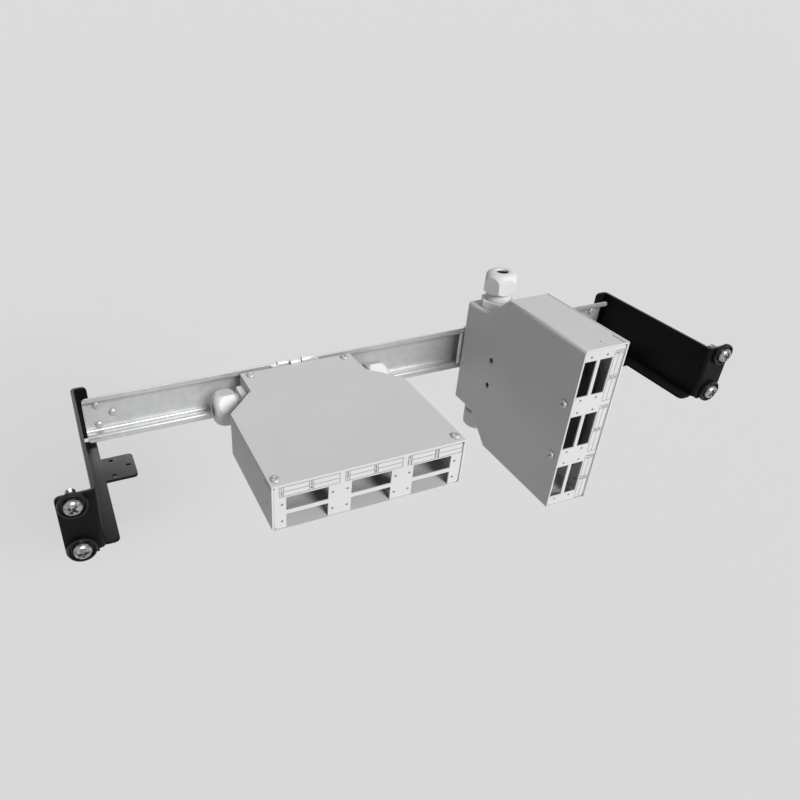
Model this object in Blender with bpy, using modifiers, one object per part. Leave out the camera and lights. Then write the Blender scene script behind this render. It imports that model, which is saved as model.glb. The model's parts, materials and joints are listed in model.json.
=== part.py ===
"""Rack panel that carries a 35 mm DIN rail, with two clip-on fibre boxes.

Frame: +X along the rail, +Y from the rack's front plane to its back, +Z up. The origin is the middle of
the plane in which the ears meet the rack posts. All sizes are in metres.
"""

import math

import bmesh
import bpy
from mathutils import Matrix, Vector

MM = 0.001

# Clearances
GAP = 0.3 * MM  # between pieces that touch on the real object
BORE_GAP = 0.25 * MM  # round a screw in its hole
SEAM = 0.1 * MM  # one form of a piece set in from another, where they are joined
WELD = 0.002 * MM

# Rack panel, one unit high
BODY_WIDTH = 443.0 * MM  # over the two side plates
PANEL_HEIGHT = 43.6 * MM
EAR_WIDTH = 19.8 * MM
EAR_SCREW_OFFSET = 11.05 * MM  # side plate to screw, which gives the 465.1 mm of the standard
RACK_SCREW_PITCH = 31.75 * MM
EAR_SLOT_LENGTH = 10.0 * MM
EAR_CORNER = 3.0 * MM

# Brackets, folded from one sheet each
PLATE = 2.0 * MM
PLATE_BEND = 1.0 * MM  # inner radius of a fold
BRACKET_DEPTH = 108.0 * MM
FLANGE_WIDTH = 10.2 * MM
FLANGE_START = 1.5 * MM  # fold relief behind the ear
FLANGE_CORNER = 3.0 * MM
RELIEF_SLIT = 1.6 * MM
TAB_REACH = 20.3 * MM
TAB_WIDTH = 24.4 * MM
TAB_CORNER = 2.5 * MM
TAB_CENTRE = 69.0 * MM  # of the lower tab, behind the rack plane
TRIANGLE_INSET = 14.4 * MM  # side plate to the outer pair of holes in the rear tab and the rail
TAB_HOLE_INSET = 16.0 * MM  # the same in the lower tab
TRIANGLE_PAIR = 16.0 * MM
TRIANGLE_DEPTH = 10.2 * MM
TAPPED_RADIUS = 1.5 * MM

# Rail, 35 x 7.5 top hat
RAIL_CLEARANCE = 3.2 * MM  # each end to its side plate
RAIL_HEIGHT = 35.0 * MM
RAIL_HAT = 27.0 * MM
RAIL_DEPTH = 7.5 * MM
RAIL_SHEET = 1.0 * MM
RAIL_BEND = 0.8 * MM
RAIL_CORNER = 2.5 * MM

# M3 and M6 pan-head screws
HEAD_CROWN = 0.75  # radius of the flatter top, as a share of the head's
HEAD_CROWN_LEVEL = 0.8  # its height, as a share of the head's
HEAD_RIM = 0.3  # height of the straight rim, as a share of the head's
CROSS_REACH = 0.55  # half length of a recess's arm, as a share of the head's radius
CROSS_HALF = 0.11  # half width of the arm, as a share of the head's radius
CROSS_FLOOR = 0.4  # as a share of the head's height
M3_RADIUS = 1.5 * MM
M3_HEAD_RADIUS = 2.85 * MM
M3_HEAD_HEIGHT = 1.65 * MM
M6_RADIUS = 3.0 * MM
M6_HEAD_RADIUS = 5.4 * MM
M6_HEAD_HEIGHT = 4.1 * MM
RACK_SCREW_LENGTH = 12.0 * MM
CUP_RADIUS = 8.3 * MM
CUP_HEIGHT = 2.6 * MM
CUP_FLOOR = 1.0 * MM
CUP_WALL = 1.3 * MM

# Fibre boxes, in their own frame: u across, v from front to back, w from base to cover
BOX_WIDTH = 125.0 * MM
BOX_LENGTH = 123.5 * MM
BOX_THICKNESS = 33.5 * MM
BOX_SHEET = 1.2 * MM
BOX_BEND = 2.2 * MM  # outer radius of the folds along the base
NECK_LENGTH = 23.5 * MM  # straight wall between the back and the slanted wall
SLANT_DEPTH = 22.0 * MM
NECK_INSET = 20.5 * MM
LUG_LENGTH = 12.5 * MM
LUG_REACH = 9.0 * MM
LUG_SLIT = 0.9 * MM
COVER_SCREW_EDGE = 5.2 * MM
COVER_SCREW_SIDE = 4.4 * MM
COVER_SCREW_FRONT = 5.2 * MM
FLANGE_SCREW_FRONT = 7.1 * MM
COVER_TAB_LENGTH = 6.5 * MM
SIDE_HOLE_RADIUS = 0.9 * MM
SIDE_HOLE_FRONT = 7.0 * MM
STUD_MARK_RADIUS = 0.5 * MM
DIMPLE_RADIUS = 4.2 * MM
DIMPLE_DEPTH = 0.6 * MM
DIMPLE_HOLE_RADIUS = 2.2 * MM
DIMPLE_BACK = 37.5 * MM  # from the back wall

# Front plate with cut-outs for duplex adapters
COLUMNS = 3
ROWS = 2
COLUMN_PITCH = 40.6 * MM
ROW_PITCH = 12.3 * MM
CUTOUT_WIDTH = 26.0 * MM
CUTOUT_HEIGHT = 9.7 * MM
CUTOUT_TOP = 10.1 * MM  # cover's face to the first row
THIN_STRIP = 0.8 * MM  # less than this is not left standing under a cut-out
ADAPTER_HOLE_PITCH = 31.3 * MM
ADAPTER_HOLE_RADIUS = 0.95 * MM
FRONT_INSET = 0.6 * MM
FRONT_SHEET = 1.2 * MM
FRONT_CORNER = 2.2 * MM
FRONT_FLANGE = 11.0 * MM
FRONT_FLANGE_WIDTH = 12.0 * MM
FRONT_SIDE_FLANGE = 15.0 * MM

# Splice tray on two stand-offs
TRAY_LEVEL = 24.6 * MM  # underside, above the base's outer face
TRAY_SHEET = 1.2 * MM
TRAY_WIDTH = 85.0 * MM
TRAY_FRONT = 9.0 * MM
TRAY_PAST_SHOULDER = 5.0 * MM  # how far it reaches into the narrower part
TRAY_CORNER = 7.0 * MM
TRAY_RIM = 2.6 * MM
TRAY_SLOT_LENGTH = 8.0 * MM
TRAY_SLOT_WIDTH = 2.6 * MM
STANDOFF_PITCH = 60.0 * MM
STANDOFF_BACK = 50.0 * MM  # behind the box's front
STANDOFF_FLATS = 5.5 * MM

# Rail clip behind each box
CLIP_WIDTH = 36.0 * MM
CLIP_SHEET = 1.2 * MM
CLIP_BEND = 0.4 * MM
CLIP_SCREW_PITCH = 21.0 * MM
HOOK_WIDTH = 8.0 * MM
HOOK_CENTRE = 9.25 * MM
HOOK_DROP = 2.4 * MM  # behind the rail's lip
SLIDER_WIDTH = 13.0 * MM
SLIDER_TRAVEL = 2.4 * MM
HOOK_CATCH = 2.1 * MM  # of the slider's hook behind the lower lip
PRESS_TAB_WIDTH = 7.6 * MM
SPRING_RADIUS = 1.75 * MM
SPRING_WIRE = 0.25 * MM
SPRING_LENGTH = 17.0 * MM
SPRING_TURNS = 5
NUT_FLATS = 5.5 * MM
NUT_HEIGHT = 2.4 * MM

# Cable glands, in their own frame: out of the neck wall along +Z
GLAND_BACK = 12.5 * MM  # gland's axis to the back wall
GLAND_FLATS = 22.0 * MM
GLAND_COLLAR = 5.0 * MM
GLAND_THREAD_RADIUS = 7.8 * MM
GLAND_NECK_RADIUS = 9.0 * MM
GLAND_NECK = 10.0 * MM
GLAND_BORE = 5.6 * MM
GLAND_INSIDE = 8.0 * MM
DOME_START = 3.0 * MM  # collar to the nut
DOME_HEX = 9.0 * MM
DOME_SHOULDER = 2.0 * MM  # from the end of the flats to the dome
DOME_HEIGHT = 15.5 * MM
DOME_BORE = 4.4 * MM
DOME_LAND = 1.8 * MM  # flat ring round the bore
DOME_WALL = 1.6 * MM
DOME_CONE = 5.0 * MM
SLACK_NUT = 3.2 * MM  # how much further out the upper gland's nut stands
SEAL_BORE = 3.9 * MM
LOCKNUT_HEIGHT = 4.0 * MM

# Where the two boxes sit along the rail
FLAT_BOX_X = -67.3 * MM
UPRIGHT_BOX_X = 89.0 * MM

# Worked out from the sizes above
SIDE = BODY_WIDTH / 2  # outer face of the right side plate
HALF_HEIGHT = PANEL_HEIGHT / 2
EAR_SCREW_X = SIDE + EAR_SCREW_OFFSET
RAIL_LENGTH = BODY_WIDTH - 2 * PLATE - 2 * RAIL_CLEARANCE
RAIL_BACK = BRACKET_DEPTH - PLATE - GAP
LIP_FRONT = RAIL_BACK - RAIL_DEPTH
CLIP_BACK = LIP_FRONT - GAP
CLIP_FRONT = CLIP_BACK - CLIP_SHEET
SLIDER_BACK = CLIP_FRONT - GAP
SLIDER_FRONT = SLIDER_BACK - CLIP_SHEET
BOX_BACK = SLIDER_FRONT - GAP
BOX_FRONT = BOX_BACK - BOX_LENGTH
SHOULDER = BOX_LENGTH - NECK_LENGTH - SLANT_DEPTH  # front to the start of the slanted wall
TRAY_LENGTH = SHOULDER + TRAY_PAST_SHOULDER - TRAY_FRONT
COVER_LEVEL = BOX_THICKNESS - BOX_SHEET  # underside of the cover
WALL_TOP = COVER_LEVEL - GAP
GLAND_V = BOX_LENGTH - GLAND_BACK
TRIANGLE = [(0, TRIANGLE_PAIR / 2), (0, -TRIANGLE_PAIR / 2), (TRIANGLE_DEPTH, 0)]

# A plate is drawn in its own X and Y; these stand it up
STAND_XZ = Matrix(((1, 0, 0, 0), (0, 0, -1, 0), (0, 1, 0, 0), (0, 0, 0, 1)))
STAND_YZ = Matrix(((0, 0, 1, 0), (1, 0, 0, 0), (0, 1, 0, 0), (0, 0, 0, 1)))
MIRROR_X = Matrix.Diagonal((-1, 1, 1, 1))
# A screw's head points along its +Z
FACE_FRONT = Matrix.Rotation(math.radians(90), 4, "X")
FACE_REAR = Matrix.Rotation(math.radians(-90), 4, "X")
FACE_DOWN = Matrix.Rotation(math.radians(180), 4, "X")


def clear_scene():
    for obj in list(bpy.data.objects):
        bpy.data.objects.remove(obj, do_unlink=True)


def new_collection(name):
    collection = bpy.data.collections.new(name)
    bpy.context.scene.collection.children.link(collection)
    return collection


def material(name, colour, roughness, metallic=0.0):
    made = bpy.data.materials.new(name)
    made.use_nodes = True
    shader = made.node_tree.nodes["Principled BSDF"]
    shader.inputs["Base Color"].default_value = (*colour, 1.0)
    shader.inputs["Roughness"].default_value = roughness
    shader.inputs["Metallic"].default_value = metallic
    return made


# Outlines

def arc(centre, radius, start, end, steps=3):
    """Points of an arc, with its angles in degrees."""
    points = []
    for k in range(steps + 1):
        a = math.radians(start + (end - start) * k / steps)
        points.append((centre[0] + radius * math.cos(a), centre[1] + radius * math.sin(a)))
    return points


def circle(centre, radius, sides=8):
    return arc(centre, radius, 0, 360 - 360 / sides, sides - 1)


def rectangle(x0, y0, x1, y1, corner=0.0, steps=3):
    if not corner:
        return [(x0, y0), (x1, y0), (x1, y1), (x0, y1)]
    r = min(corner, 0.49 * (x1 - x0), 0.49 * (y1 - y0))
    return (arc((x0 + r, y0 + r), r, 180, 270, steps) + arc((x1 - r, y0 + r), r, 270, 360, steps)
            + arc((x1 - r, y1 - r), r, 0, 90, steps) + arc((x0 + r, y1 - r), r, 90, 180, steps))


def slot(centre, length, width, steps=5):
    """An oblong with round ends, long along X."""
    reach = (length - width) / 2
    x, y = centre
    return arc((x + reach, y), width / 2, -90, 90, steps) + arc((x - reach, y), width / 2, 90, 270, steps)


def hexagon(flats):
    return circle((0, 0), flats / math.sqrt(3), 6)


def inset(points, distance):
    """A closed outline moved inwards; its points run against the clock."""
    points = [Vector(p) for p in points]
    found = []
    for before, corner, after in zip(points[-1:] + points[:-1], points, points[1:] + points[:1]):
        come, go = (corner - before).normalized(), (after - corner).normalized()
        mitre = Vector((-come.y - go.y, come.x + go.x)).normalized()
        found.append(tuple(corner + mitre * distance / mitre.dot(Vector((-come.y, come.x)))))
    return found


def bent_strip(path, thickness, inner_radius, steps=3):
    """Outline of a strip folded along a path, which is the middle of its thickness."""
    path = [Vector(p) for p in path]
    middle = inner_radius + thickness / 2
    left, right = [], []

    def add(point, normal):
        left.append(tuple(point + normal * thickness / 2))
        right.append(tuple(point - normal * thickness / 2))

    def side(direction):
        return Vector((-direction.y, direction.x))

    add(path[0], side((path[1] - path[0]).normalized()))
    for before, corner, after in zip(path, path[1:], path[2:]):
        come, go = (corner - before).normalized(), (after - corner).normalized()
        turn = math.atan2(come.x * go.y - come.y * go.x, come.dot(go))
        sign = math.copysign(1, turn)
        centre = corner - come * middle * math.tan(abs(turn) / 2) + side(come) * sign * middle
        for k in range(steps + 1):
            normal = side(come)
            normal.rotate(Matrix.Rotation(turn * k / steps, 2))
            add(centre - normal * sign * middle, normal)
    add(path[-1], side((path[-1] - path[-2]).normalized()))
    return left + right[::-1]


# Solids

def add_object(name, mesh, collection):
    obj = bpy.data.objects.new(name, mesh)
    collection.objects.link(obj)
    return obj


def solid_mesh(obj):
    """The object's evaluated mesh, welded and with its flat faces whole; the object itself is removed."""
    bpy.context.view_layer.update()
    graph = bpy.context.evaluated_depsgraph_get()
    mesh = bpy.data.meshes.new_from_object(obj.evaluated_get(graph))
    name = obj.name
    bpy.data.objects.remove(obj, do_unlink=True)
    mesh.name = name
    work = bmesh.new()
    work.from_mesh(mesh)
    bmesh.ops.remove_doubles(work, verts=work.verts, dist=WELD)
    bmesh.ops.dissolve_limit(work, angle_limit=math.radians(0.1), verts=work.verts, edges=work.edges)
    bmesh.ops.dissolve_degenerate(work, dist=WELD, edges=work.edges)
    work.to_mesh(mesh)
    work.free()
    return mesh


def plate(name, outline, thickness, matrix=None):
    """A flat outline, as thick as said, centred on its own plane."""
    curve = bpy.data.curves.new(name, "CURVE")
    curve.dimensions = "2D"
    curve.fill_mode = "BOTH"
    curve.extrude = thickness / 2
    spline = curve.splines.new("POLY")
    spline.points.add(len(outline) - 1)
    for point, (x, y) in zip(spline.points, outline):
        point.co = (x, y, 0, 1)
    spline.use_cyclic_u = True
    mesh = solid_mesh(add_object(name, curve, WORKSHOP))
    if matrix is not None:
        mesh.transform(matrix)
    return add_object(name, mesh, WORKSHOP)


def rods(name, places, radius, thickness, matrix=None, sides=8):
    """Round cutters through a plate, at places in its own plane."""
    return [plate(name, circle(place, radius, sides), 3 * thickness, matrix) for place in places]


def block(name, low, high):
    """A box from its low corner to its high one."""
    low, high = Vector(low), Vector(high)
    work = bmesh.new()
    bmesh.ops.create_cube(work, size=1.0)
    for vert in work.verts:
        for i in range(3):
            vert.co[i] = low[i] if vert.co[i] < 0 else high[i]
    mesh = bpy.data.meshes.new(name)
    work.to_mesh(mesh)
    work.free()
    return add_object(name, mesh, WORKSHOP)


def turned(name, profile, closed=False, steps=20):
    """A profile in X and Z, listed down its outer side, turned about Z."""
    mesh = bpy.data.meshes.new(name)
    count = len(profile)
    edges = [(i, i + 1) for i in range(count - 1)] + ([(count - 1, 0)] if closed else [])
    mesh.from_pydata([(x, 0, z) for x, z in profile], edges, [])
    obj = add_object(name, mesh, WORKSHOP)
    screw = obj.modifiers.new("turn", "SCREW")
    screw.steps = steps
    screw.render_steps = steps
    screw.use_merge_vertices = True
    screw.merge_threshold = WELD
    return add_object(name, solid_mesh(obj), WORKSHOP)


def combine(obj, operation, tool):
    """Applies one Boolean and puts the tool away."""
    change = obj.modifiers.new(operation.lower(), "BOOLEAN")
    change.operation = operation
    change.solver = "EXACT"
    change.object = tool
    tool.display_type = "WIRE"
    tool.hide_render = True
    name = obj.name
    made = add_object(name, solid_mesh(obj), WORKSHOP)
    WORKSHOP.objects.unlink(tool)
    CUTTERS.objects.link(tool)
    made.name = name
    return made


def cut(obj, *tools):
    for tool in tools:
        obj = combine(obj, "DIFFERENCE", tool)
    return obj


def unite(obj, *tools):
    for tool in tools:
        obj = combine(obj, "UNION", tool)
    return obj


def moved(obj, matrix):
    obj.data.transform(matrix)
    if matrix.determinant() < 0:
        obj.data.flip_normals()
    return obj


def finish(obj, name, look, parent=None, smooth_angle=30.0):
    """Moves a piece into the model, under its parent, with its material."""
    WORKSHOP.objects.unlink(obj)
    MODEL.objects.link(obj)
    obj.name = name
    obj.data.name = name
    obj.data.materials.clear()
    obj.data.materials.append(look)
    obj.data.shade_smooth()
    obj.data.set_sharp_from_angle(angle=math.radians(smooth_angle))
    obj.parent = parent
    return obj


def finish_each(obj, name, look, places, parent=None):
    """A copy of a piece at each place, numbered from 1."""
    for k, place in enumerate(places, 1):
        copy = add_object(name, obj.data.copy(), WORKSHOP)
        finish(copy, f"{name}_{k}", look, parent)
        copy.matrix_basis = place
    bpy.data.objects.remove(obj, do_unlink=True)


def empty(name, matrix, parent=None):
    obj = bpy.data.objects.new(name, None)
    MODEL.objects.link(obj)
    obj.parent = parent
    obj.matrix_basis = matrix
    return obj


# Fasteners

def pan_screw(name, radius, head_radius, head_height, length, steps=10):
    """A pan-head screw along -Z, with the seat of its head at Z = 0."""
    profile = [(0, head_height), (HEAD_CROWN * head_radius, HEAD_CROWN_LEVEL * head_height),
               (head_radius, HEAD_RIM * head_height), (head_radius, 0), (radius, 0), (radius, -length), (0, -length)]
    return turned(name, profile, steps=steps)


def cross_recess(screw, head_radius, head_height):
    """The cross for the driver, sunk into a pan head."""
    reach, half = CROSS_REACH * head_radius, CROSS_HALF * head_radius
    floor, top = CROSS_FLOOR * head_height, 2 * head_height
    cross = block("cross", (-reach, -half, floor), (reach, half, top))
    cross = unite(cross, block("cross_bar", (-half, -reach, floor), (half, reach, top)))
    return combine(screw, "DIFFERENCE", cross)


def m3_screw(name, length):
    return pan_screw(name, M3_RADIUS, M3_HEAD_RADIUS, M3_HEAD_HEIGHT, length)


def hex_nut(name, flats, height, hole_radius, sides=8):
    """A nut on its hole's axis, from Z = 0 up."""
    nut = plate(name, hexagon(flats), height, Matrix.Translation((0, 0, height / 2)))
    return cut(nut, plate("thread", circle((0, 0), hole_radius, sides), 3 * height))


# Panel

def corner_cutter(name, corner, outward, radius, thickness, matrix):
    """What is taken off a square corner to leave it round, in a plate's own plane."""
    (x, y), (sx, sy) = corner, outward
    over = 0.5 * MM
    outline = [(x + sx * over, y + sy * over), (x - sx * radius, y + sy * over)]
    centre = Vector((x - sx * radius, y - sy * radius))
    for k in range(4):
        a = math.radians(90 - 90 * k / 3)
        outline.append((centre.x + sx * radius * math.cos(a), centre.y + sy * radius * math.sin(a)))
    outline.append((x + sx * over, y - sy * radius))
    return plate(name, outline, thickness, matrix)


def triangle_places(x, y):
    """Three holes, with the odd one towards -X."""
    return [(x - dx, y + dy) for dx, dy in TRIANGLE]


def make_bracket():
    """The right bracket; the left one mirrors it."""
    middle = SIDE - PLATE / 2
    path = [(SIDE + EAR_WIDTH, -PLATE / 2), (middle, -PLATE / 2),
            (middle, BRACKET_DEPTH - PLATE / 2), (SIDE - FLANGE_WIDTH, BRACKET_DEPTH - PLATE / 2)]
    bracket = plate("bracket", bent_strip(path, PLATE, PLATE_BEND), PANEL_HEIGHT)
    flange_end = BRACKET_DEPTH - PLATE - RELIEF_SLIT
    fold = 2 * PLATE + PLATE_BEND
    inner = SIDE - FLANGE_WIDTH - TAB_REACH
    bracket = cut(
        bracket,
        block("fold_room", (inner, FLANGE_START, -2 * HALF_HEIGHT), (2 * SIDE, flange_end, fold - HALF_HEIGHT)),
        block("ear_relief", (SIDE - PLATE - PLATE_BEND, -2 * PLATE, -2 * HALF_HEIGHT),
              (SIDE + PLATE_BEND + PLATE / 2, FLANGE_START, PLATE - HALF_HEIGHT)),
        block("slit", (inner, flange_end, -2 * HALF_HEIGHT),
              (2 * SIDE, 2 * BRACKET_DEPTH, PLATE + RELIEF_SLIT - HALF_HEIGHT)))
    fold_path = [(middle, 2 * fold - HALF_HEIGHT), (middle, PLATE / 2 - HALF_HEIGHT),
                 (SIDE - FLANGE_WIDTH, PLATE / 2 - HALF_HEIGHT)]
    length = flange_end - FLANGE_START
    flange = plate("flange", bent_strip(fold_path, PLATE, PLATE_BEND), length,
                   Matrix.Translation((0, FLANGE_START + length / 2, 0)) @ STAND_XZ)
    floor_plane = Matrix.Translation((0, 0, PLATE / 2 - HALF_HEIGHT))
    flange = cut(flange, corner_cutter("flange_corner", (SIDE - FLANGE_WIDTH, FLANGE_START), (-1, -1),
                                       FLANGE_CORNER, 4 * PLATE, floor_plane))
    root = SIDE - FLANGE_WIDTH + FLANGE_CORNER + PLATE
    ear_plane = Matrix.Translation((0, -PLATE / 2, 0)) @ STAND_XZ
    rear_plane = Matrix.Translation((0, BRACKET_DEPTH - PLATE / 2, 0)) @ STAND_XZ
    half_tab = TAB_WIDTH / 2
    lower_tab = plate("lower_tab", rectangle(inner, TAB_CENTRE - half_tab, root, TAB_CENTRE + half_tab,
                                             TAB_CORNER), PLATE, floor_plane)
    rear_tab = plate("rear_tab", rectangle(inner, -half_tab, root, half_tab, TAB_CORNER), PLATE, rear_plane)
    bracket = unite(bracket, flange, lower_tab, rear_tab)
    tools = [plate("ear_slot", slot((EAR_SCREW_X, sign * RACK_SCREW_PITCH / 2), EAR_SLOT_LENGTH,
                                    2 * (M6_RADIUS + GAP)), 3 * PLATE, ear_plane) for sign in (-1, 1)]
    tools += [corner_cutter("ear_corner", (SIDE + EAR_WIDTH, sign * HALF_HEIGHT), (1, sign), EAR_CORNER,
                            3 * PLATE, ear_plane) for sign in (-1, 1)]
    tools.append(corner_cutter("rear_corner", (SIDE - FLANGE_WIDTH, HALF_HEIGHT), (-1, 1), FLANGE_CORNER,
                               3 * PLATE, rear_plane))
    tools += rods("rear_hole", triangle_places(SIDE - TRIANGLE_INSET, 0), M3_RADIUS + BORE_GAP, PLATE, rear_plane, 10)
    tools += rods("tab_hole", triangle_places(SIDE - TAB_HOLE_INSET, TAB_CENTRE), TAPPED_RADIUS, PLATE, floor_plane, 10)
    return cut(bracket, *tools)


def make_rail():
    lip = LIP_FRONT + RAIL_SHEET / 2
    web = RAIL_BACK - RAIL_SHEET / 2
    hat = (RAIL_HAT - RAIL_SHEET) / 2
    path = [(lip, RAIL_HEIGHT / 2), (lip, hat), (web, hat), (web, -hat), (lip, -hat), (lip, -RAIL_HEIGHT / 2)]
    rail = plate("rail", bent_strip(path, RAIL_SHEET, RAIL_BEND, 4), RAIL_LENGTH, STAND_YZ)
    half = RAIL_LENGTH / 2
    trim = plate("rail_trim", rectangle(-half, -RAIL_HEIGHT / 2, half, RAIL_HEIGHT / 2, RAIL_CORNER),
                 4 * RAIL_DEPTH, Matrix.Translation((0, web, 0)) @ STAND_XZ)
    rail = combine(rail, "INTERSECT", trim)
    plane = Matrix.Translation((0, web, 0)) @ STAND_XZ
    places = triangle_places(SIDE - TRIANGLE_INSET, 0)
    places += [(-x, z) for x, z in places]
    return cut(rail, *rods("rail_hole", places, M3_RADIUS + BORE_GAP, RAIL_SHEET, plane, 10))


def make_panel(looks):
    bracket = make_bracket()
    left = moved(add_object("left", bracket.data.copy(), WORKSHOP), MIRROR_X)
    finish(bracket, "right_bracket", looks["black_steel"])
    finish(left, "left_bracket", looks["black_steel"])
    finish(make_rail(), "din_rail", looks["galvanised"])
    for side, name in ((1, "right_"), (-1, "left_")):
        seats = [Matrix.Translation((side * (SIDE - TRIANGLE_INSET - dx), RAIL_BACK - RAIL_SHEET - GAP, dz))
                 @ FACE_FRONT for dx, dz in TRIANGLE]
        screw = m3_screw("rail_screw", RAIL_SHEET + GAP + PLATE + 2 * GAP + M3_RADIUS)
        finish_each(screw, name + "rail_screw", looks["zinc"], seats)
        cup_seats = [Matrix.Translation((side * EAR_SCREW_X, -PLATE - GAP, sign * RACK_SCREW_PITCH / 2))
                     @ FACE_FRONT for sign in (1, -1)]
        cup = turned("cup", [(CUP_RADIUS - CUP_WALL / 2, CUP_HEIGHT), (CUP_RADIUS, CUP_HEIGHT - CUP_WALL / 2),
                             (CUP_RADIUS, 0), (M6_RADIUS + BORE_GAP, 0), (M6_RADIUS + BORE_GAP, CUP_FLOOR),
                             (CUP_RADIUS - CUP_WALL, CUP_FLOOR), (CUP_RADIUS - CUP_WALL, CUP_HEIGHT)],
                     closed=True, steps=16)
        finish_each(cup, name + "cup_washer", looks["black_plastic"], cup_seats)
        raise_head = Matrix.Translation((0, 0, CUP_FLOOR + GAP))
        screw = pan_screw("rack_screw", M6_RADIUS, M6_HEAD_RADIUS, M6_HEAD_HEIGHT, RACK_SCREW_LENGTH, 16)
        screw = cross_recess(screw, M6_HEAD_RADIUS, M6_HEAD_HEIGHT)
        finish_each(screw, name + "rack_screw", looks["zinc"], [seat @ raise_head for seat in cup_seats])


# Box: sheet-metal pieces

def box_outline(front=0.0):
    """Plan of a box from its front left corner, against the clock seen from the cover's side."""
    left, right = NECK_INSET, BOX_WIDTH - NECK_INSET
    neck = SHOULDER + SLANT_DEPTH
    return [(0, front), (BOX_WIDTH, front), (BOX_WIDTH, SHOULDER), (right, neck), (right, BOX_LENGTH),
            (left, BOX_LENGTH), (left, neck), (0, SHOULDER)]


def cover_screw_places():
    back = BOX_LENGTH - COVER_SCREW_EDGE
    inner = NECK_INSET + COVER_SCREW_EDGE + BOX_SHEET
    return [(COVER_SCREW_SIDE, COVER_SCREW_FRONT), (BOX_WIDTH - COVER_SCREW_SIDE, COVER_SCREW_FRONT),
            (inner, back), (BOX_WIDTH - inner, back)]


def slant_tabs():
    """Middle, direction and outward side of each locating tab on the slanted walls."""
    found = []
    slope = math.hypot(NECK_INSET, SLANT_DEPTH)
    for mirror in (False, True):
        along = Vector((NECK_INSET, SLANT_DEPTH)) / slope
        outward = Vector((-along.y, along.x))
        for far in (COVER_TAB_LENGTH / 2 + BOX_SHEET, slope - COVER_TAB_LENGTH / 2 - BOX_SHEET):
            middle = Vector((0, SHOULDER)) + along * far
            if mirror:
                found.append((Vector((BOX_WIDTH - middle.x, middle.y)), Vector((-along.x, along.y)),
                              Vector((-outward.x, outward.y))))
            else:
                found.append((middle, along, outward))
    return found


def slant_piece(name, tab, length, out, depth, w0, w1):
    """A block along a slanted wall, from so far outside its outer face to so deep inside."""
    middle, along, outward = tab
    corners = [middle + along * length / 2 + outward * out, middle - along * length / 2 + outward * out,
               middle - along * length / 2 - outward * depth, middle + along * length / 2 - outward * depth]
    return plate(name, [tuple(c) for c in corners], w1 - w0, Matrix.Translation((0, 0, (w0 + w1) / 2)))


def gland_matrix(side):
    """From a gland's frame to the box's; side is -1 on the left neck wall and 1 on the right."""
    u = NECK_INSET if side < 0 else BOX_WIDTH - NECK_INSET
    turn = Matrix.Rotation(math.radians(90 * side), 4, "Y")
    return Matrix.Translation((u, GLAND_V, BOX_THICKNESS / 2)) @ turn


def clip_screw_places():
    """Screw holes in the back wall: one pair for a flat box and one for an upright box."""
    half = CLIP_SCREW_PITCH / 2
    u, w = BOX_WIDTH / 2, BOX_THICKNESS / 2
    return [(u - half, w), (u + half, w), (u, w - half), (u, w + half)]


def standoff_places():
    return [(BOX_WIDTH / 2 + sign * STANDOFF_PITCH / 2, STANDOFF_BACK) for sign in (-1, 1)]


def front_flange_places():
    """The columns of the front plate between the cut-outs, where its lower flange tabs are."""
    middles = [BOX_WIDTH / 2 + (c - (COLUMNS - 1) / 2) * COLUMN_PITCH for c in range(COLUMNS)]
    return [(a + b) / 2 for a, b in zip(middles, middles[1:])]


def rod(name, radius, length, matrix, sides=8):
    """A round cutter centred on its matrix, along its Z."""
    return plate(name, circle((0, 0), radius, sides), length, matrix)


def box_solid(name, outline, low, high, bend):
    """The plan between two levels, with the fold's radius round its lower edge but not at the front."""
    solid = plate(name, outline, high - low, Matrix.Translation((0, 0, (low + high) / 2)))
    work = bmesh.new()
    work.from_mesh(solid.data)
    bmesh.ops.dissolve_limit(work, angle_limit=math.radians(1), verts=work.verts, edges=work.edges)
    front = min(v.co.y for v in work.verts)
    folds = [e for e in work.edges if all(abs(v.co.z - low) < 1e-6 for v in e.verts)
             and max(v.co.y for v in e.verts) > front + bend]
    bmesh.ops.bevel(work, geom=folds, offset=bend, offset_type="OFFSET", segments=3, profile=0.5,
                    affect="EDGES", clamp_overlap=False)
    work.to_mesh(solid.data)
    work.free()
    return solid


def make_body_shell():
    """The base with its walls folded up from it, open at the front and the top."""
    outer = box_solid("shell", box_outline(), 0, WALL_TOP, BOX_BEND)
    inside = inset(box_outline(-4 * BOX_SHEET), BOX_SHEET)
    inner = box_solid("hollow", inside, BOX_SHEET, 2 * WALL_TOP, BOX_BEND - BOX_SHEET)
    return combine(outer, "DIFFERENCE", inner)


def make_lugs():
    """The ears under the cover that its four screws go into."""
    lugs = []
    top = WALL_TOP - SEAM
    for u, v in cover_screw_places():
        front = v < SHOULDER
        wall = 0 if front else NECK_INSET
        start = wall + 0.5 * BOX_SHEET if u < BOX_WIDTH / 2 else BOX_WIDTH - wall - 0.5 * BOX_SHEET
        end = start + math.copysign(LUG_REACH, BOX_WIDTH / 2 - u)
        near = FRONT_INSET + FRONT_SHEET + GAP if front else BOX_LENGTH - LUG_LENGTH
        far = LUG_LENGTH if front else BOX_LENGTH - 0.5 * BOX_SHEET
        lugs.append(block("lug", (min(start, end), near, top - BOX_SHEET), (max(start, end), far, top)))
    return lugs


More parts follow.
